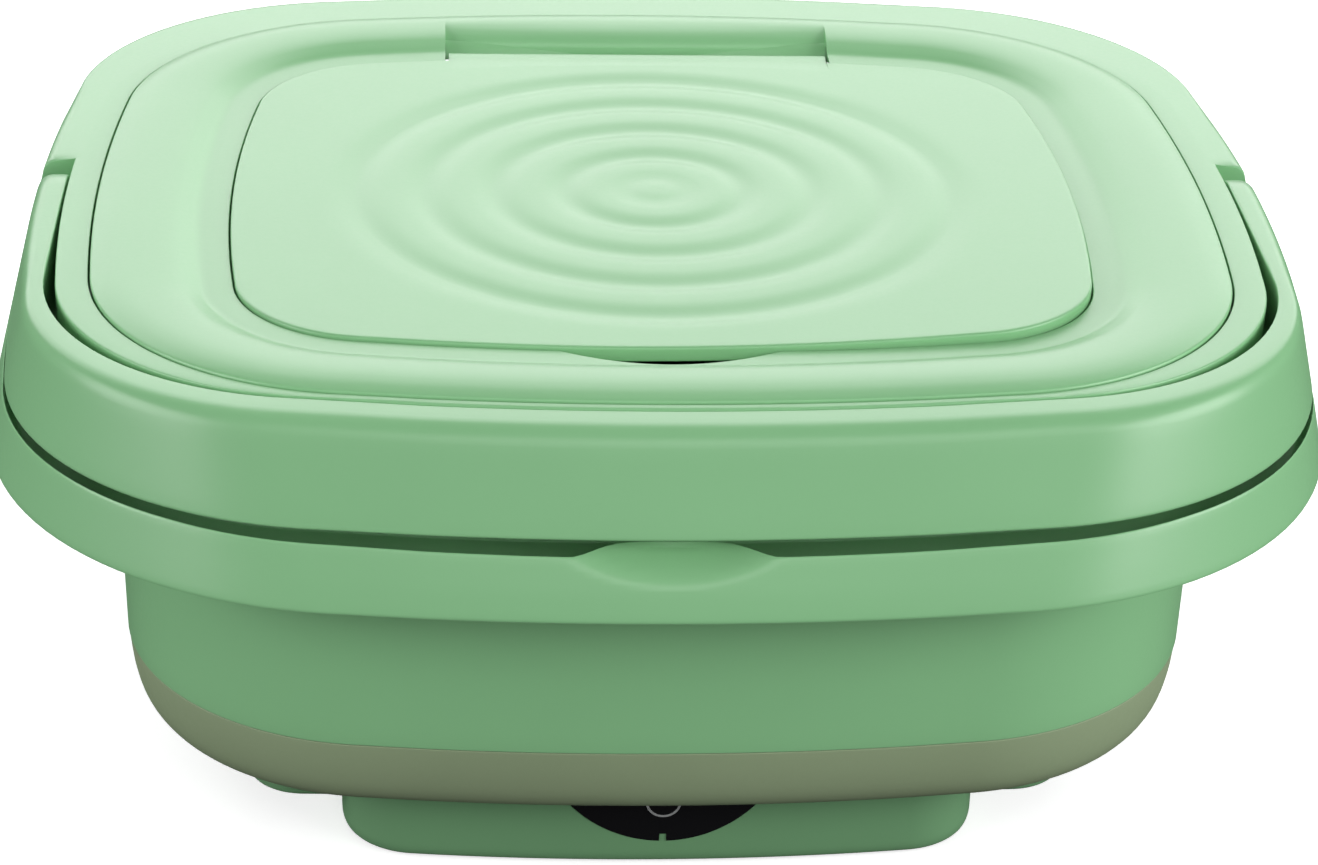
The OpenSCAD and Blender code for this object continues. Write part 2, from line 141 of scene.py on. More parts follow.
def corner_centre(a, b, r, side_bow, end_bow):
    """Centre of the corner arc of radius r, tangent inside the side bow and the end bow."""
    side_centre = np.array([a - side_bow, 0.0])
    end_centre = np.array([0.0, b - end_bow])
    between = end_centre - side_centre
    d = np.hypot(*between)
    along = ((side_bow - r) ** 2 - (end_bow - r) ** 2 + d * d) / (2 * d)
    off = math.sqrt((side_bow - r) ** 2 - along * along)
    return side_centre + between * along / d + np.array([-between[1], between[0]]) * off / d


def side_x(a, side_bow, y):
    """x of the side bow at y."""
    return a - side_bow + np.sqrt(side_bow * side_bow - np.square(y))


def quarter(a, b, r, side_bow, end_bow):
    """Points of one quarter of an outline, from (a, 0) round the corner to (0, b)."""
    centre = corner_centre(a, b, r, side_bow, end_bow)
    first = math.atan2(centre[1], centre[0] - a + side_bow)
    last = math.atan2(centre[1] - b + end_bow, centre[0])
    side = [(side_x(a, side_bow, y), y) for y in SIDE_Y]
    corner = [
        tuple(centre + r * np.array([math.cos(turn), math.sin(turn)]))
        for turn in np.linspace(first, last, CORNER_STEPS)
    ]
    end = [(x, b - end_bow + math.sqrt(end_bow * end_bow - x * x)) for x in END_X]
    return np.array(side + corner + end)


def all_round(back, fore):
    """Mirrors a rear and a front quarter into one closed row, counter-clockwise from +X."""
    return np.concatenate([
        back[:-1],
        (back * [-1, 1])[:0:-1],
        (fore * [-1, -1])[:-1],
        (fore * [1, -1])[:0:-1],
    ])


def outline(a, front, rear, r, side_bow=None, end_bow=None):
    """Closed outline with bowed sides and ends, which runs parallel to the seam by default."""
    side_bow = side_bow or SIDE_BOW + a - SEAM_A
    back = quarter(a, rear, r, side_bow, end_bow or END_BOW + rear - SEAM_B)
    fore = quarter(a, front, r, side_bow, end_bow or END_BOW + front - SEAM_B)
    return all_round(back, fore)


def stations(first, last):
    """1 on the rear quarter's stations first..last, on both sides, and 0 elsewhere."""
    count = len(SIDE_Y) + CORNER_STEPS + len(END_X)
    flag = np.zeros((count, 1))
    flag[first:last] = 1
    return np.abs(all_round(np.hstack([flag, flag]), np.zeros((count, 2)))[:, :1])


ENDS = len(SIDE_Y) + CORNER_STEPS
IN_REAR = stations(SIDE_Y.index(NOTCH_Y) + 1, None)
IN_RECESS = stations(ENDS + END_X.index(RECESS) + 1, None)
IN_WEB = stations(ENDS + END_X.index(WEB) + 1, None)


def seam(o):
    """The line between lid and collar, moved outwards by o."""
    return outline(SEAM_A + o, SEAM_B + o, SEAM_B + o, SEAM_R + o)


def bowl(o, narrower=BOWL_IN):
    """The wall below the lip and the fold: the seam outline moved outwards by o, with closer sides."""
    return outline(SEAM_A + o - narrower, SEAM_B + o, SEAM_B + o, SEAM_R + o - narrower / 2)


def collar_at(z, d=0.0):
    """The collar's sloping outer face at height z, moved inwards by d."""
    t = (COLLAR_TOP - z) / (COLLAR_TOP - LIP_Z)
    return outline(
        lerp(COLLAR_A, LIP_A, t) - d,
        lerp(COLLAR_FRONT, LIP_B, t) - d,
        lerp(COLLAR_REAR, LIP_B, t) - d,
        lerp(COLLAR_R, LIP_R, t) - d,
    )


def rim(d=0.0):
    """The collar's upright inside the handle, moved outwards by d."""
    return outline(150.8 + d, 128.8 + d * 0.8, 128.8 + d, 70 - 2 * d)


def tub_line(a, b, d=0.0):
    """The tub's outline at half-width a and reach b, moved inwards by d."""
    return outline(a - d, b - d, b - d, 46 - d)


def door_line(d=0.0):
    """The door's edge, moved outwards by d."""
    return outline(DOOR_A + d, DOOR_B + d, DOOR_B + d, 35 + d, 480, 500)


def block_line(d=0.0):
    """The pedestal's outline, moved outwards by d."""
    return outline(BLOCK_A + d, BLOCK_B + d, BLOCK_REAR + d, 20 + d, 3000, BLOCK_BOW)


# ---- mesh building ----


def at(line, z):
    """An outline lifted to height z, which is one number or one for each point."""
    return np.column_stack([line, np.broadcast_to(z, len(line))])


def soften(path, closed=True, steps=5):
    """Rounds each (loop, radius) of a profile path with a short curve, and returns the loops."""
    loops = []
    count = len(path)
    for k, (corner, radius) in enumerate(path):
        if np.max(radius) <= 0 or (not closed and k in (0, count - 1)):
            loops.append(corner)
            continue
        radius = np.reshape(radius, (-1, 1))
        before, after = path[k - 1][0], path[(k + 1) % count][0]
        first = np.linalg.norm(before - corner, axis=1)[:, None]
        last = np.linalg.norm(after - corner, axis=1)[:, None]
        start = corner + (before - corner) * np.minimum(0.48, radius / np.maximum(first, 1e-6))
        stop = corner + (after - corner) * np.minimum(0.48, radius / np.maximum(last, 1e-6))
        for t in np.linspace(0, 1, steps):
            loops.append((1 - t) ** 2 * start + 2 * t * (1 - t) * corner + t * t * stop)
    return loops


def refine(loops, closed, longest):
    """Adds loops between neighbours that are further apart than longest."""
    out = []
    last = len(loops) if closed else len(loops) - 1
    for k in range(last):
        a, b = loops[k], loops[(k + 1) % len(loops)]
        n = max(1, int(np.median(np.linalg.norm(b - a, axis=1)) / longest))
        out += [a + (b - a) * i / n for i in range(n)]
    return out if closed else out + [loops[-1]]


def finish_mesh(name, points, faces, sharp=32):
    """A smooth-shaded object from points in millimetres, with doubled points merged."""
    mesh = bpy.data.meshes.new(name)
    mesh.from_pydata((np.asarray(points) * MM).tolist(), [], faces)
    bm = bmesh.new()
    bm.from_mesh(mesh)
    bmesh.ops.remove_doubles(bm, verts=bm.verts, dist=2e-6)
    bmesh.ops.recalc_face_normals(bm, faces=bm.faces)
    bm.to_mesh(mesh)
    bm.free()
    mesh.polygons.foreach_set("use_smooth", [True] * len(mesh.polygons))
    mesh.set_sharp_from_angle(angle=math.radians(sharp))
    piece = bpy.data.objects.new(name, mesh)
    bpy.context.scene.collection.objects.link(piece)
    return piece


def skin(name, loops, ring=True, sharp=32):
    """Quads between successive loops of equal length; an open skin gets flat end caps."""
    n, rows = len(loops[0]), len(loops)
    points = np.concatenate(loops)
    faces = []
    for k in range(rows if ring else rows - 1):
        row, nxt = k * n, ((k + 1) % rows) * n
        faces += [(row + i, row + (i + 1) % n, nxt + (i + 1) % n, nxt + i) for i in range(n)]
    if not ring:
        faces += [tuple(range(n))[::-1], tuple((rows - 1) * n + i for i in range(n))]
    return finish_mesh(name, points, faces, sharp)


def circle(r, count=64):
    """Points of a circle of radius r, as two arrays."""
    turn = np.linspace(0, 2 * math.pi, count, endpoint=False)
    return r * np.cos(turn), r * np.sin(turn)


def drill(piece, x, z, r):
    """Cuts a round hole into the back of a piece, as deep as DRILL_Y."""
    across, up = circle(r)
    ends = [
        np.column_stack([x + across, np.full_like(across, depth), z + up])
        for depth in (DRILL_Y, DRILL_Y + 60)
    ]
    cutter = skin("cutter", ends, ring=False)
    cut = piece.modifiers.new("hole", "BOOLEAN")
    cut.operation = "DIFFERENCE"
    cut.solver = "EXACT"
    cut.object = cutter
    bpy.context.view_layer.update()
    cut_piece = piece.evaluated_get(bpy.context.evaluated_depsgraph_get())
    bored = bpy.data.meshes.new_from_object(cut_piece)
    piece.modifiers.clear()
    piece.data = bored
    bpy.data.objects.remove(cutter)


def drill_rear(piece):
    """Cuts the drain hole and the power socket's hole."""
    drill(piece, DRAIN_X, DRAIN_Z, DRAIN_HOLE_R)
    drill(piece, JACK_X, JACK_Z, JACK_HOLE_R)


# ---- lid and door ----

BORDER_Z = SEAM_Z - 2.5
SEAT_Z = SEAM_Z - 5.8
FLOOR_Z = SEAM_Z - 9.1
SCOOP_HALF = 26
SCOOP_REACH = 6.5
SCOOP_SINK = 2.4


def in_recess(line, y, z):
    """Points at the line's own x, at depth y and height z."""
    return np.column_stack([line[:, 0], np.full(len(line), y), np.full(len(line), z)])


def make_lid():
    """The lid's frame: border, door seat with its finger scoop, and hinge recess at the rear."""
    seat = door_line(-4.5)
    hump = np.clip(1 - ((seat[:, 0] + 1) / SCOOP_HALF) ** 2, 0, 1)
    scoop = np.where(seat[:, 1] < 0, hump, 0)
    sink = SCOOP_SINK * scoop
    forward = np.column_stack([np.zeros_like(scoop), SCOOP_REACH * scoop])
    lip = door_line(0.45)
    dipped = lip - forward
    border = door_line(7.3) - 0.35 * forward
    plain = [
        (at(seam(-0.6), SEAM_Z - 7), 0.5),
        (at(seam(-0.25), SEAM_Z - 0.3), 0.7),
        (at(seam(-4), SEAM_Z + 0.95), 9),
        (at(seam(-9), SEAM_Z + 1.45), 9),
        (at(door_line(15), SEAM_Z + 0.75), 9),
        (at(door_line(10.5), SEAM_Z - 1.1), 9),
        (at(door_line(8.6), BORDER_Z + 0.35), 9),
        (at(border, BORDER_Z), 1.2),
        (at(dipped, BORDER_Z), 0.35),
        (at(dipped, SEAT_Z + 0.4 - sink), 0.6),
        (at(seat, SEAT_Z - sink), 0.4),
        (at(seat, SEAT_Z - 2.8), 0.5),
        (at(door_line(5), SEAT_Z - 2.8), 2),
        (at(door_line(9), SEAM_Z - 5), 4),
        (at(seam(-19), SEAM_Z - 2.2), 4),
        (at(seam(-13.5), SEAM_Z - 0.8), 4),
        (at(seam(-7.5), SEAM_Z - 1.4), 3),
        (at(seam(-3.4), SEAM_Z - 3.6), 0.5),
        (at(seam(-3.4), SEAM_Z - 7), 0.5),
    ]
    recessed = [loop for loop, _ in plain]
    recessed[4:14] = [
        in_recess(lip, RECESS_Y + 5.5, SEAM_Z + 0.6),
        in_recess(lip, RECESS_Y + 1.2, SEAM_Z - 1.4),
        in_recess(lip, RECESS_Y + 0.3, SEAM_Z - 5),
        in_recess(lip, RECESS_Y, FLOOR_Z + 0.4),
        in_recess(lip, RECESS_Y - 5, FLOOR_Z),
        in_recess(lip, RECESS_Y - 8, FLOOR_Z),
        at(seat, FLOOR_Z),
        at(seat, FLOOR_Z - 2.4),
        at(door_line(5), FLOOR_Z - 2.4),
        at(door_line(9), FLOOR_Z - 2.2),
    ]
    path = [(lerp(p, q, IN_RECESS), r) for (p, r), q in zip(plain, recessed)]
    loops = refine(soften(path, steps=6), True, 3)
    return skin("lid_shell", loops)


RIPPLE_DEPTH = 0.9
RIPPLE_STOPS = [0, 7.5, 14.5, 23, 32, 41, 50, 59, 68, 77, 87]
ROUND_MIDDLE = 79
BARREL_R = 3.2
CORNER_LIFT = 2.2


def ripple(r):
    """Depth of the concentric ripples at radius r, which fade into the flat plate at the last stop."""
    phase = np.interp(r, RIPPLE_STOPS, np.arange(len(RIPPLE_STOPS)) * math.pi)
    depth = RIPPLE_DEPTH * np.interp(r, [9, 15], [0.35, 1])
    return depth * ((1 - np.cos(phase)) / 2) ** 1.8


def make_door():
    """The flap, with its web and hinge barrel; its free right corner stands a little proud."""
    plate_top = DOOR_TOP - 0.4
    under = SEAM_Z - 5.4
    line = door_line(-6)
    edge = np.linalg.norm(line, axis=1)[:, None]
    ray = line / edge
    loops = []
    for r in np.concatenate([[0.01, 1, 2], np.arange(3, ROUND_MIDDLE, 1.25)]):
        loops.append(at(ray * r, plate_top - ripple(r)))
    for t in np.linspace(0.08, 1, 12):
        radius = lerp(ROUND_MIDDLE, edge, t)
        loops.append(at(ray * radius, plate_top - ripple(radius[:, 0])))
    rear, front = HINGE_Y + BARREL_R, HINGE_Y - BARREL_R
    high, low = HINGE_Z + BARREL_R, HINGE_Z - BARREL_R
    whole = door_line()
    rim_path = [
        (loops[-1], loops[-1], 0),
        (at(door_line(-2.5), plate_top), in_recess(whole, HINGE_Y - 3, high), 0.5),
        (at(whole, plate_top), in_recess(whole, rear, high), 0.9 + 2.3 * IN_WEB),
        (at(whole, under), in_recess(whole, rear, low), 0.5 + 2.7 * IN_WEB),
        (at(door_line(-1.5), under), in_recess(whole, front, low), 0.5 + 2.7 * IN_WEB),
        (at(door_line(-3), under), in_recess(whole, front - 0.2, under), 0.3),
        (at(door_line(-8), under), at(door_line(-8), under), 0),
    ]
    path = [(lerp(p, q, IN_WEB), r) for p, q, r in rim_path]
    loops += soften(path, closed=False, steps=6)[1:]
    for t in (0.7, 0.4, 0.1):
        loops.append(at(door_line(-8) * t, under))
    warped = []
    for x, y, z in (loop.T for loop in loops):
        to_right = np.clip((x + 15) / 124, 0, 1) ** 1.4
        to_front = np.clip((HINGE_Y - 6 - y) / 187, 0, 1)
        warped.append(np.column_stack([x, y, z + CORNER_LIFT * to_right * to_front]))
    return skin("door_panel", warped, ring=False)


# ---- collar, handle and fold ----


SCOOP_MIDDLE = -2
GRIP_HALF = 25
GRIP_DEPTH = 8.5
LIP_SAG = 1.7
TROUGH_Z = LEDGE_Z - 9


def press_lip(x, y, z):
    """Presses the finger grip into the lip's front and lets the lip sag a little along it."""
    u = np.abs((x - SCOOP_MIDDLE) / GRIP_HALF)
    bottom = LEDGE_Z - 7.5 + 7.5 * np.minimum(u, 2) ** 2.2
    depth = GRIP_DEPTH * smoothstep(0, 1, (z - bottom) / 6.5) * (u < 1.4)
    outer = (y < -140) & (z < LEDGE_Z + 0.5)
    reach = np.clip((-y - 143) / 6, 0, 1)
    sag = LIP_SAG * np.clip(1 - (x / 118) ** 2, 0, 1) * np.clip((z - LEDGE_Z + 10) / 10, 0, 1)
    on_lip = (y < -60) & (z < LEDGE_Z + 0.7) & (np.hypot(x / 152, y / 129.6) > 0.985)
    return np.column_stack([x, y + np.where(outer, depth * reach, 0), z - np.where(on_lip, sag, 0)])


def make_collar():
    """The collar: lip, trough under the handle, upright and the high block at the rear."""
    top = at(collar_at(COLLAR_TOP + 0.6), COLLAR_TOP + 0.6)
    ledge = at(rim(), LEDGE_Z)
    trough_out = at(collar_at(LEDGE_Z, 3), TROUGH_Z)
    trough_in = at(rim(0.4), TROUGH_Z)
    chamfer = 1 - 0.02 * stations(SIDE_Y.index(NOTCH_Y) + 1, SIDE_Y.index(NOTCH_Y) + 2)
    path = [
        (at(collar_at(LIP_Z), LIP_Z), 1.2),
        (at(collar_at(LEDGE_Z), LEDGE_Z), 1.4 * (1 - IN_REAR)),
        (lerp(trough_out, at(collar_at(LEDGE_Z + 3), LEDGE_Z + 3), IN_REAR), 0.8 * (1 - IN_REAR)),
        (lerp(trough_in, at(collar_at(LEDGE_Z + 6), LEDGE_Z + 6), IN_REAR), 0.5 * (1 - IN_REAR)),
        (lerp(ledge, top, IN_REAR * chamfer), 0.5 + 2.2 * IN_REAR),
        (lerp(at(rim(0.3), RIM_TOP - 0.1), at(rim(-1.5), RIM_TOP - 0.1), IN_REAR), 0.8),
        (at(seam(0.2), RIM_TOP), 0.3),
        (at(seam(0.4), SEAM_Z - 7.3), 0.4),
        (at(seam(-5), SEAM_Z - 7.3), 0.4),
        (at(seam(-5), SEAM_Z - 10), 0.6),
        (at(seam(-2.4), SEAM_Z - 12), 0.6),
        (at(seam(-2.4), LEDGE_Z - 1), 0.6),
        (at(seam(1.3), LEDGE_Z - 1), 0.6),
        (at(seam(1.3), LIP_Z), 0.6),
    ]
    loops = refine(soften(path), True, 1.6)
    return skin("collar_shell", [press_lip(*loop.T) for loop in loops])


def make_handle():
    """The bail, swept from the right pivot end round the front to the left one."""
    end_r = HANDLE_TOP - PIN_Z - 0.4
    swing = np.linspace(math.pi / 2, 0, 14)[:-1]
    end_y = PIN_Y + end_r * np.sin(swing)
    half = end_r * np.cos(swing)

    def path(a, front, r, side_bow=None):
        """Open line from the right pivot end round the front to the left one."""
        side_bow = side_bow or SIDE_BOW + a - SEAM_A
        fore = quarter(a, front, r, side_bow, END_BOW + front - SEAM_B) * [1, -1]
        end = np.column_stack([side_x(a, side_bow, end_y), end_y])
        start = np.array([[side_x(a, side_bow, PIN_Y), PIN_Y]])
        right = np.concatenate([end, start, fore])
        return np.concatenate([right, (right * [-1, 1])[-2::-1]])

    def outer(z):
        """The handle's outer face at height z, flush with the collar's."""
        t = (COLLAR_TOP - z) / (COLLAR_TOP - LIP_Z)
        return path(lerp(COLLAR_A, LIP_A, t), lerp(COLLAR_FRONT, LIP_B, t), lerp(COLLAR_R, LIP_R, t))

    inner = path(151.6, 129.5, 69, 4000)
    count = len(inner)
    reach = np.full(count, end_r)
    reach[:len(half)] = half
    reach[-len(half):] = half[::-1]
    low, high = outer(HANDLE_LOW), outer(HANDLE_TOP)
    ends = reach / end_r

    def on_face(a, b, z):
        """Points at height z between outlines a and b, with the pivot ends rounded about the pin."""
        rounded = PIN_Z + np.clip((z - PIN_Z) / end_r, -1, 1) * reach
        z = np.where(reach < end_r, rounded, z)
        t = ((z - HANDLE_LOW) / (HANDLE_TOP - HANDLE_LOW))[:, None]
        return np.column_stack([lerp(a, b, t), z])

    section = [
        (on_face(low, high, HANDLE_LOW), 1.1 * ends),
        (on_face(low, high, HANDLE_TOP), 4.5 * ends),
        (on_face(inner, inner, HANDLE_TOP), 0.8 * ends),
        (on_face(inner, inner, HANDLE_LOW), 0.8 * ends),
    ]
    loops = refine(soften(section, steps=8), True, 3)
    rows = len(loops)
    faces = []
    for k in range(rows):
        row, nxt = k * count, (k + 1) % rows * count
        faces += [(row + i, row + i + 1, nxt + i + 1, nxt + i) for i in range(count - 1)]
    faces += [tuple(k * count + end for k in range(rows)) for end in (0, count - 1)]
    return finish_mesh("bail_handle", np.concatenate(loops), faces)


def make_bowl_wall():
    """The wall that hangs from the collar, a little narrower below the lip."""
    path = [
        (at(bowl(-0.5), WALL_LOW), 0.4),
        (at(bowl(0.4), LIP_Z - 3), 3),
        (at(seam(0.6), LIP_Z + 3), 2),
        (at(seam(0.9), WALL_TOP), 0.3),
        (at(seam(-1.6), WALL_TOP), 0.3),
        (at(seam(-1.9), LIP_Z + 3.5), 2),
        (at(bowl(-2.1), LIP_Z - 2.5), 3),
        (at(bowl(-3), WALL_LOW), 0.4),
    ]
    return skin("bowl_wall", refine(soften(path), True, 4))


def make_underside():
    """The ring that closes the lip from below."""
    path = [
        (at(seam(3.9), LIP_Z + 0.1), 0.2),
        (at(collar_at(LIP_Z, 3.1), LIP_Z + 0.1), 0.2),
        (at(collar_at(LIP_Z, 3.3), LIP_Z + 1.5), 0.2),
        (at(seam(3.9), LIP_Z + 1.5), 0.2),
    ]
    return skin("lip_closing_ring", soften(path, steps=3))


def make_band():
    """The outer leg of the fold, which hangs from the bowl wall and rolls under."""
    path = [
        (at(bowl(-0.7), WALL_LOW - 0.1), 0.4),
        (at(bowl(-1.4), BAND_LOW + 11), 6),
        (at(bowl(-3), BAND_LOW + 4.5), 4),
        (at(bowl(-6), BAND_LOW + 0.4), 3),
        (at(bowl(-9), BAND_LOW), 2),
        (at(bowl(-9), BAND_LOW + 2.2), 1),
        (at(bowl(-7.4), BAND_LOW + 2.6), 2),
        (at(bowl(-5), BAND_LOW + 5.8), 4),
        (at(bowl(-3.4), BAND_LOW + 11.5), 5),
        (at(bowl(-2.8), WALL_LOW - 0.1), 0.4),
    ]
    return skin("fold_outer_leg", refine(soften(path, steps=6), True, 3))


def make_fold():
    """The inner leg of the fold, from the roll up to the rim of the tub."""
    centre = [
        (at(bowl(-8.8), BAND_LOW + 1.1), 0),
        (at(bowl(-11), BAND_LOW + 1.6), 3),
        (at(bowl(-13.4, BOWL_IN * 0.7), 50), 8),
        (at(bowl(-15.8, BOWL_IN * 0.4), 72), 8),
        (at(seam(-19.4), 86.3), 6),
        (at(seam(-19.6), BAND_TOP), 0),
    ]
    spine = refine(soften(centre, closed=False, steps=6), False, 2.5)
    middle = spine[0].mean(axis=0) * [1, 1, 0]
    outer, inner = [], []
    for loop in spine:
        away = (loop - middle) * [1, 1, 0]
        away /= np.linalg.norm(away, axis=1)[:, None]
        wave = 0.25 * math.sin(loop[0, 2] * 0.55)
        outer.append(loop + away * (0.9 + wave))
        inner.append(loop - away * (0.9 - wave))
    return skin("fold_inner_leg", outer + inner[::-1])


# ---- base and tub ----


def make_tub():
    """The tub, open at the top, on the base."""
    path = [
        (at(tub_line(100, 80), TUB_FLOOR + 0.2), 0),
        (at(tub_line(117.5, 98), TUB_FLOOR + 0.2), 1),
        (at(tub_line(118.2, 98.8), 78), 4),
        (at(tub_line(120.5, 103), 88), 3),
        (at(tub_line(120.5, 103), TUB_TOP), 1),
        (at(tub_line(120.5, 103, 2.5), TUB_TOP), 1),
        (at(tub_line(120.5, 103, 2.5), 88.5), 3),
        (at(tub_line(118.2, 98.8, 2.5), 78.5), 4),
        (at(tub_line(117, 97, 3), 58), 10),
        (at(tub_line(112, 92, 9), TUB_FLOOR + 2.9), 9),
        (at(tub_line(100, 80), TUB_FLOOR + 2.9), 0),
    ]
    return skin("tub_bowl", refine(soften(path, closed=False, steps=7), False, 4), ring=False)


def make_base_body():
    """Rounded underbody between the tub's floor and the pedestal block."""
    low, top = HOUSING_LOW + 11, TUB_FLOOR - 0.3
    path = [
        (at(outline(90, 70, 70, 14), low), 0),
        (at(outline(109, 93.5, 93.5, 14, end_bow=2500), low), 1.2),
        (at(outline(112, 96, 96, 20, end_bow=1500), low + 8), 4),
        (at(tub_line(117.5, 98), top - 0.1), 0.6),
        (at(tub_line(110, 90), top), 0),
    ]
    body = skin("base_body", refine(soften(path, closed=False, steps=7), False, 3), ring=False)
    drill_rear(body)
    return body


def make_pedestal():
    """Block under the tub, hollowed from below for its cover."""
    path = [
        (at(block_line(-3.5), HOUSING_LOW + 9), 0),
        (at(block_line(-3.5), HOUSING_LOW), 0.4),
        (at(block_line(-0.8), HOUSING_LOW), 0.8),
        (at(block_line(), HOUSING_LOW + 2), 2),
        (at(block_line(), TUB_FLOOR - 0.6), 0),
    ]
    block = skin("pedestal", refine(soften(path, closed=False, steps=6), False, 3), ring=False)
    drill_rear(block)
    return block


def make_front_wall():
    """The block's front, which goes on upwards in front of the tub."""
    def face(d):
        """The wall's outline, with the pedestal's bow in front and the tub's behind."""
        line = quarter(BLOCK_A + d, BLOCK_B + d, 20 + d, 3000, BLOCK_BOW)[len(SIDE_Y):]
        x = np.linspace(-75, 75, 76)
        behind = -(TUB_B - 5.5) + x ** 2 / 1140
        front = np.minimum(-np.interp(np.abs(x), line[::-1, 0], line[::-1, 1]), behind - 0.8)
        return np.concatenate([np.column_stack([x, front]), np.column_stack([x, behind])[::-1]])

    path = [
        (at(face(0), TUB_FLOOR - 0.6), 0),
        (at(face(0), BLOCK_TOP - 3), 4),
        (at(face(-1.5), BLOCK_TOP), 1),
        (at(face(-3), BLOCK_TOP), 0),
    ]
    return skin("front_wall", refine(soften(path, closed=False, steps=6), False, 3), ring=False)


def follow_front(x):
    """y of the pedestal's bowed front at x."""
    return -(BLOCK_B - BLOCK_BOW + np.sqrt(BLOCK_BOW ** 2 - np.square(x)))


def on_front(x, z, proud):
    """Points on the pedestal's front at x and z, standing proud of it."""
    return np.column_stack([x, follow_front(x) - proud, z])


NOTCH_HALF = 0.9
PANEL_PROUD = 0.27


def panel_outline(r):
    """Circle of radius r with a square notch at the bottom, as (x, z) about the panel's centre."""
    start = math.asin(NOTCH_HALF / r)
    turn = np.linspace(start - math.pi / 2, 1.5 * math.pi - start, 120)
    edge = np.column_stack([r * np.cos(turn), r * np.sin(turn)])
    low, high = -LENS_R + 1.6, -LENS_R + 2.2
    left, right = -NOTCH_HALF, NOTCH_HALF
    notch = np.array([[left, low], [left, high], [0, high], [right, high], [right, low]])
    return np.concatenate([edge, notch])


def make_lens():
    """Face of the touch panel, following the pedestal's front and standing proud of it by a hair."""
    loops = []
    for inset, proud in [(0, -1.5), (0, 0.02), (0.05, 0.18), (0.22, 0.25), (0.6, PANEL_PROUD)]:
        x, z = panel_outline(LENS_R - inset).T
        loops.append(on_front(x, z + LENS_Z, proud))
    for t in (0.92, 0.8, 0.66, 0.5, 0.33, 0.16, 0.02):
        x, z = t * panel_outline(LENS_R - 0.6).T
        loops.append(on_front(x, z + LENS_Z, PANEL_PROUD))
    return skin("panel_face", loops, ring=False, sharp=50)


def make_power_mark():
    """Thin printed ring near the bottom of the panel, as a film."""
    middle = LENS_Z - 19.4
    loops = []
    for r, proud in [(3.9, 0.26), (3.95, 0.3), (4.45, 0.3), (4.5, 0.26)]:
        x, z = circle(r)
        loops.append(on_front(x, middle + z, proud))
    return skin("power_mark", loops)


def make_pulsator():
    """The agitator: a dished disc with rounded fins that run out to its rim."""
    radius, _, _, low, _ = size("pulsator")
    sector = 2 * math.pi / 4
    radii = np.concatenate([[0.01, 2, 4], np.linspace(5.4, radius - 1, 60)])
    turn = np.linspace(0, 2 * math.pi, 288, endpoint=False)
    loops = []
    for r in radii:
        dish = np.interp(r, [0, 5.2, 5.5, 18, 30, radius - 3, radius], [9, 9, 11.8, 10, 6, 4.5, 3.2])
        arc = np.mod(turn - sector / 2, sector)
        arc = np.minimum(arc, sector - arc) * r
        crest = np.interp(r, [14, 22, 34, 46, radius - 8, radius - 3], [10, 13.5, 15, 14, 8, 4.5])
        fin = smoothstep(0, 1, 1 - arc / 7.5)
        top = np.maximum(dish, lerp(dish, crest, fin))
        loops.append(np.column_stack([r * np.cos(turn), r * np.sin(turn), low + top]))
    for r, z in [(radius, 3), (radius, 1.5), (radius - 2, 0), (radius - 20, 0.2), (8, 0.2)]:
        flat = np.full_like(turn, low + z)
        loops.append(np.column_stack([r * np.cos(turn), r * np.sin(turn), flat]))
    return skin("agitator", loops, ring=False)


def make_drain_cap():
    """Pull-off cap, a hollow plug with two gripping grooves round it."""
    low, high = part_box("drain_cap")
    start, length = low[1] / MM, (high[1] - low[1]) / MM
    x = size("drain_pipe")[0] - 6.5
    middle = high[2] / MM - 8.6
    profile = [(0.01, 8.6), (6.8, 8.6), (6.8, 0), (8.2, 0), (8.6, 0.4)]
    for groove in (2.6, 5.6):
        profile += [(8.6, groove), (8.1, groove + 0.6), (8.1, groove + 1.6), (8.6, groove + 2.2)]
    profile += [(8.6, length - 1), (7.6, length), (0.01, length)]
    loops = []
    for r, depth in profile:
        across, up = circle(r, 72)
        loops.append(np.column_stack([x + across, np.full_like(across, start + depth), middle + up]))
    return skin("drain_stopper", loops, ring=False)


# ---- materials ----


def mix(tree, kind, factor, a, b):
    """A colour mix node; factor, a and b are sockets or values."""
    node = tree.nodes.new("ShaderNodeMix")
    node.data_type = "RGBA"
    node.blend_type = kind
    # 0, 6 and 7 are the node's factor and colour inputs, and 2 is its colour output.
    for socket, value in ((0, factor), (6, a), (7, b)):
        if isinstance(value, bpy.types.NodeSocket):
            tree.links.new(value, node.inputs[socket])
        else:
            node.inputs[socket].default_value = value
    return node.outputs[2]


def noise(tree, scale, detail=3, stretch=None):
    """Noise in object space, whose scale is in features per metre."""
    spot = tree.nodes.new("ShaderNodeTexCoord").outputs["Object"]
    if stretch:
        mapping = tree.nodes.new("ShaderNodeMapping")
        mapping.inputs["Scale"].default_value = stretch
        tree.links.new(spot, mapping.inputs["Vector"])
        spot = mapping.outputs["Vector"]
    node = tree.nodes.new("ShaderNodeTexNoise")
    node.inputs["Scale"].default_value = scale
    node.inputs["Detail"].default_value = detail
    tree.links.new(spot, node.inputs["Vector"])
    return node.outputs["Fac"]


def spread(tree, value, low, high):
    """Maps a 0.3..0.7 noise value to low..high."""
    node = tree.nodes.new("ShaderNodeMapRange")
    node.inputs["From Min"].default_value = 0.3
    node.inputs["From Max"].default_value = 0.7
    node.inputs["To Min"].default_value = low
    node.inputs["To Max"].default_value = high
    tree.links.new(value, node.inputs["Value"])
    return node.outputs["Result"]


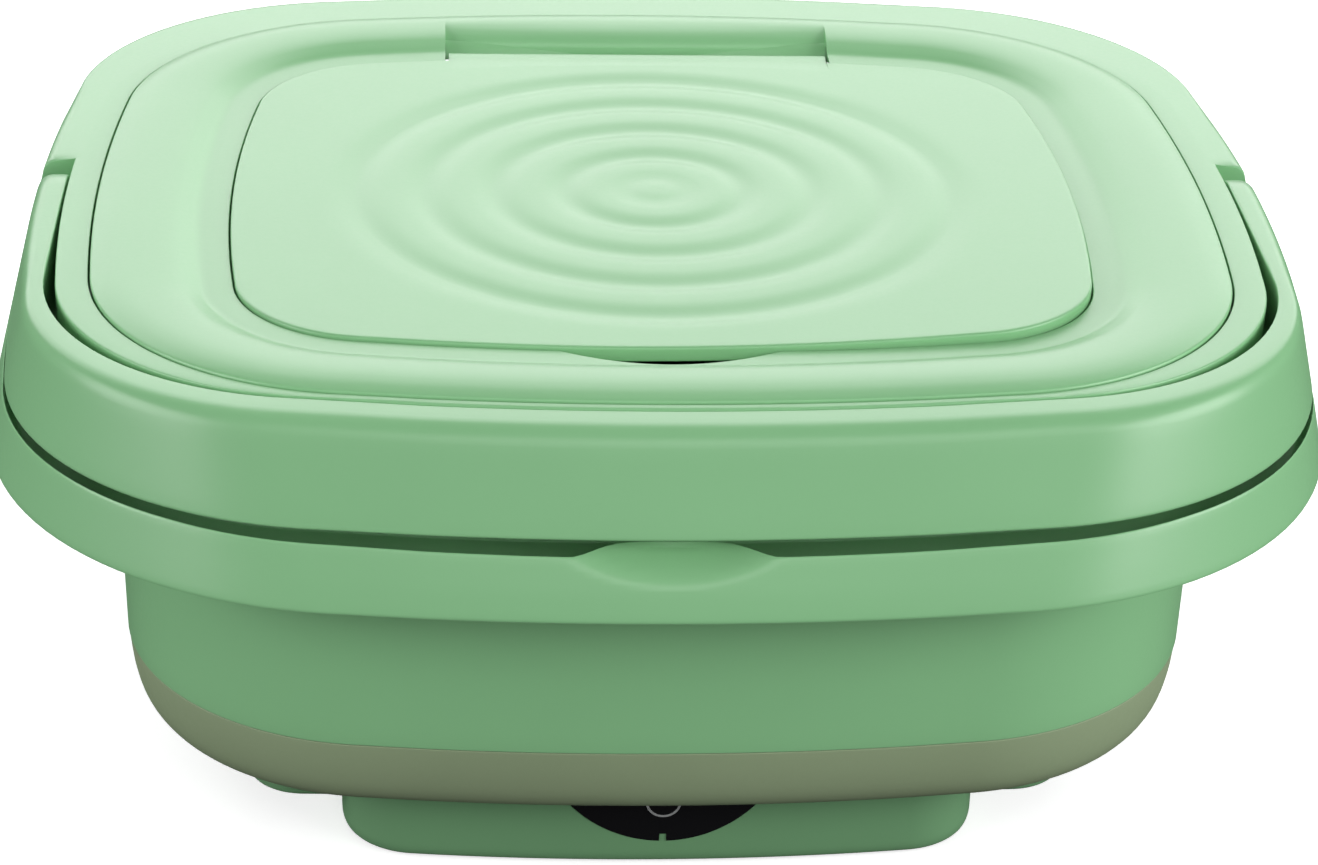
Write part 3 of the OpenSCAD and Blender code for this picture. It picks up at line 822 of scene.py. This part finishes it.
def shade(name, color, rough, grain=900, bump=0.04, vary=0.05, stretch=None, **settings):
    """A procedural finish: colour and roughness drift over the surface, with a fine moulded grain."""
    material = bpy.data.materials.new(name)
    material.use_nodes = True
    tree = material.node_tree
    shader = tree.nodes["Principled BSDF"]
    for key, value in settings.items():
        shader.inputs[key.replace("_", " ")].default_value = value
    drift = spread(tree, noise(tree, 14), 0, 1)
    dark = tuple(c * (1 - vary) for c in color) + (1,)
    light = tuple(min(1, c * (1 + vary)) for c in color) + (1,)
    tree.links.new(mix(tree, "MIX", drift, dark, light), shader.inputs["Base Color"])
    fine = noise(tree, grain, 2, stretch)
    tree.links.new(spread(tree, fine, rough * 0.92, rough * 1.08), shader.inputs["Roughness"])
    relief = tree.nodes.new("ShaderNodeBump")
    relief.inputs["Strength"].default_value = bump
    relief.inputs["Distance"].default_value = 0.0003
    tree.links.new(fine, relief.inputs["Height"])
    tree.links.new(relief.outputs["Normal"], shader.inputs["Normal"])
    return material


MINT = (0.258, 0.55, 0.272)
# The same mint darkened to 0.6: painted shade for the shadow under the bowl and the fold band, not a
# darker plastic.
MINT_WITH_PAINTED_SHADE = tuple(0.6 * c for c in MINT)
OLIVE = (0.27, 0.35, 0.205)
STEEL = (0.62, 0.63, 0.65)
FINISH = {
    "mint_plastic": shade("satin_mint", MINT, 0.36, vary=0.02, Coat_Weight=0.15, Coat_Roughness=0.25),
    "grey_rubber": shade("olive_elastomer", OLIVE, 0.62, grain=500, bump=0.12),
    "black_rubber": shade("black_rubber", (0.02, 0.02, 0.021), 0.7, grain=600, bump=0.15),
    "black_gloss": shade("black_glass", (0.006, 0.006, 0.007), 0.07, bump=0.004, Coat_Weight=0.5),
    "black_plastic": shade("black_plastic", (0.018, 0.018, 0.02), 0.42, bump=0.08),
    "white_plastic": shade("white_plastic", (0.78, 0.8, 0.78), 0.3, bump=0.02, vary=0.015),
    "circuit_board": shade("solder_mask", (0.01, 0.11, 0.04), 0.35, grain=300, bump=0.05, vary=0.2),
    "steel": shade("steel", STEEL, 0.28, grain=200, bump=0.03, stretch=(1, 1, 12), Metallic=1.0),
}
# Finish of the base pieces: the mint plastic with painted shade in its colour.
PAINTED_SHADE_MINT = shade("mint_with_painted_shade", MINT_WITH_PAINTED_SHADE, 0.4, vary=0.02)
PRINT = shade("grey_print", (0.32, 0.33, 0.33), 0.5, bump=0.01)


def dress(piece, finish):
    """Gives a piece one material."""
    piece.data.materials.clear()
    piece.data.materials.append(finish)


# ---- assembly ----


def place(piece, body, slot_name, *nodes, finish=None):
    """Puts a new piece on its body, with its slot's finish unless another is given, in place of the
    named CAD nodes.
    """
    dress(piece, finish or FINISH[slot_name])
    if nodes:
        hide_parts(*nodes)
    if body:
        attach(piece, body)
    return piece


GREEN = "mint_plastic"
place(make_lid(), "lid_body", GREEN, "lid_ring")
place(make_door(), "door_body", GREEN, "door")
place(make_collar(), "collar_body", GREEN, "collar")
place(make_underside(), "collar_body", GREEN, "lip_underside")
place(make_bowl_wall(), "collar_body", GREEN, "upper_ring")
place(make_handle(), "handle_body", GREEN, "handle")
place(make_band(), "collar_body", "grey_rubber", "fold_band")
place(make_tub(), "base", GREEN, "lower_tub")
# The base body, pedestal and front wall get the mint darkened by painted shade, for the shadow under
# the bowl and band.
place(make_base_body(), "base", GREEN, "base_housing", finish=PAINTED_SHADE_MINT)
place(make_pedestal(), "base", GREEN, "base_housing", finish=PAINTED_SHADE_MINT)
place(make_front_wall(), "base", GREEN, "base_housing", finish=PAINTED_SHADE_MINT)
place(make_lens(), "base", "black_gloss", "panel_lens")
place(make_power_mark(), "base", "black_gloss", finish=PRINT)
place(make_pulsator(), "pulsator_drive", "white_plastic", "pulsator")
place(make_drain_cap(), "drain_plug", "grey_rubber", "drain_cap")

fold = place(make_fold(), None, "grey_rubber", "fold_band")
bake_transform(fold)

for entry in frame["record"]["subparts"]:
    dress(frame["nodes"][entry["node"]], FINISH[entry["material_slot"]])

# ---- stage, lights and camera ----


def make_floor():
    """A wide sheet of paper on the ground."""
    steps = np.linspace(-6000, 6000, 7)
    count = len(steps)
    points = [(x, y, -0.2) for y in steps for x in steps]
    faces = [
        (j * count + i, j * count + i + 1, (j + 1) * count + i + 1, (j + 1) * count + i)
        for j in range(count - 1)
        for i in range(count - 1)
    ]
    floor = finish_mesh("pale_floor", points, faces)
    paper = shade("pale_paper", (0.9, 0.9, 0.9), 0.8, grain=60, bump=0.02, vary=0.004,
                  Emission_Color=(1, 1, 1, 1), Emission_Strength=0.6)
    dress(floor, paper)
    floor.visible_diffuse = False
    floor.visible_glossy = False
    return floor


make_floor()


def area_light(name, place_at, look_at, width, height, power):
    """A white rectangular lamp; places and sizes are in metres and power in watts."""
    data = bpy.data.lights.new(name, "AREA")
    data.shape = "RECTANGLE"
    data.size = width
    data.size_y = height
    data.energy = power
    lamp = bpy.data.objects.new(name, data)
    lamp.location = place_at
    aim = Vector(look_at) - Vector(place_at)
    lamp.rotation_euler = aim.to_track_quat("-Z", "Y").to_euler()
    bpy.context.scene.collection.objects.link(lamp)


area_light("rear_softbox", (0, 1.5, 1.0), (0, 0, 0.12), 3.4, 1.6, 46)
area_light("left_softbox", (-2.3, -0.9, 0.8), (0, 0, 0.08), 2.2, 1.4, 44)
area_light("right_softbox", (2.3, -1.1, 0.8), (0, 0, 0.08), 2.2, 1.4, 62)
area_light("front_softbox", (0.2, -1.6, 1.2), (0, 0, 0.08), 1.6, 0.9, 8.5)


def make_world():
    """Even light all round, brighter towards the left and right."""
    world = bpy.data.worlds.new("studio")
    world.use_nodes = True
    tree = world.node_tree
    direction = tree.nodes.new("ShaderNodeTexCoord").outputs["Generated"]
    split = tree.nodes.new("ShaderNodeSeparateXYZ")
    tree.links.new(direction, split.inputs["Vector"])
    sideways = tree.nodes.new("ShaderNodeMath")
    sideways.operation = "ABSOLUTE"
    tree.links.new(split.outputs["X"], sideways.inputs[0])
    ramp = tree.nodes.new("ShaderNodeMapRange")
    ramp.inputs["From Min"].default_value = 0.55
    ramp.inputs["From Max"].default_value = 0.95
    ramp.inputs["To Min"].default_value = 0.43
    ramp.inputs["To Max"].default_value = 1.5
    tree.links.new(sideways.outputs[0], ramp.inputs["Value"])
    tree.links.new(ramp.outputs["Result"], tree.nodes["Background"].inputs["Strength"])
    bpy.context.scene.world = world


make_world()
bpy.context.scene.view_settings.view_transform = "Standard"

CAMERA_AT = (-0.0509, -0.8401, 0.4956)
VIEW_DIRECTION = (0.0662, 0.8890, -0.4531)
CAMERA_ROLL = 0.034
FOCAL_LENGTH = 95.9
CAMERA_SHIFT = -0.0244


def make_camera():
    """The photograph's viewpoint: the camera looks down a little and is rolled about its own axis."""
    data = bpy.data.cameras.new("camera")
    data.sensor_width = 36
    data.lens = FOCAL_LENGTH
    data.shift_x = CAMERA_SHIFT
    data.clip_start = 0.05
    forward = Vector(VIEW_DIRECTION).normalized()
    yaw = math.atan2(-forward.x, forward.y)
    side = Vector((math.cos(yaw), math.sin(yaw), 0))
    up = side.cross(forward)
    rolled_side = math.cos(CAMERA_ROLL) * side + math.sin(CAMERA_ROLL) * up
    rolled_up = rolled_side.cross(forward)
    turn = Matrix((rolled_side, rolled_up, -forward)).transposed().to_4x4()
    camera = bpy.data.objects.new("camera", data)
    camera.matrix_world = Matrix.Translation(CAMERA_AT) @ turn
    bpy.context.scene.collection.objects.link(camera)
    bpy.context.scene.camera = camera


make_camera()
